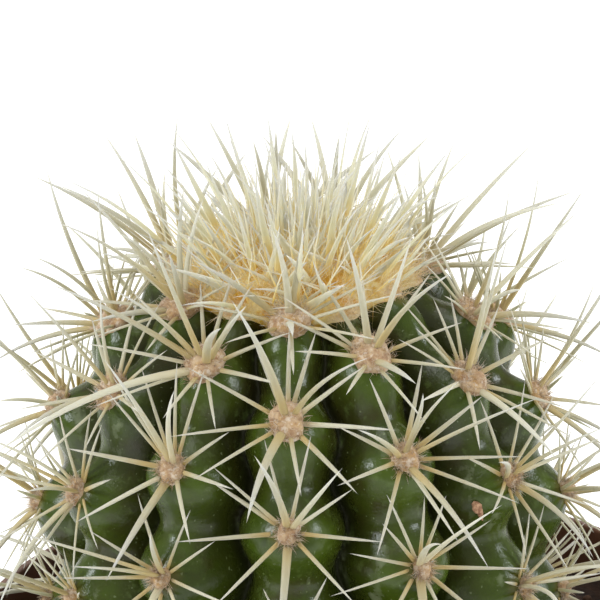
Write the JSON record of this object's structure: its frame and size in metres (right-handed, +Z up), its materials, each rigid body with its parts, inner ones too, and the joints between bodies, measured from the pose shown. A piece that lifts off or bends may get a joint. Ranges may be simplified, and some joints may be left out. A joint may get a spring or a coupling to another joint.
{
  "type": "potted round cactus",
  "caption": "Young round ribbed cactus with straw-coloured spines and a woolly crown, growing in a brown plastic nursery pot of soil.",
  "frame": {"origin": "middle of the flat disc under the pot, on the surface that the pot stands on", "axes": "+Z up along the pot's axis, +X to the picture's right, -Y toward the viewer of the picture"},
  "size_m": [0.1395, 0.1336, 0.2015],
  "materials": {
    "pot_plastic": "satin",
    "soil": "matte",
    "cactus_skin": "gloss",
    "spot_wool": "matte",
    "spines": "satin",
    "crown_wool": "matte",
    "soil_bits": "matte"
  },
  "bodies": {
    "root": {"pot": "pot_plastic", "soil": "soil", "cactus_body": "cactus_skin", "cactus_crown": "crown_wool"}
  },
  "joints": []
}
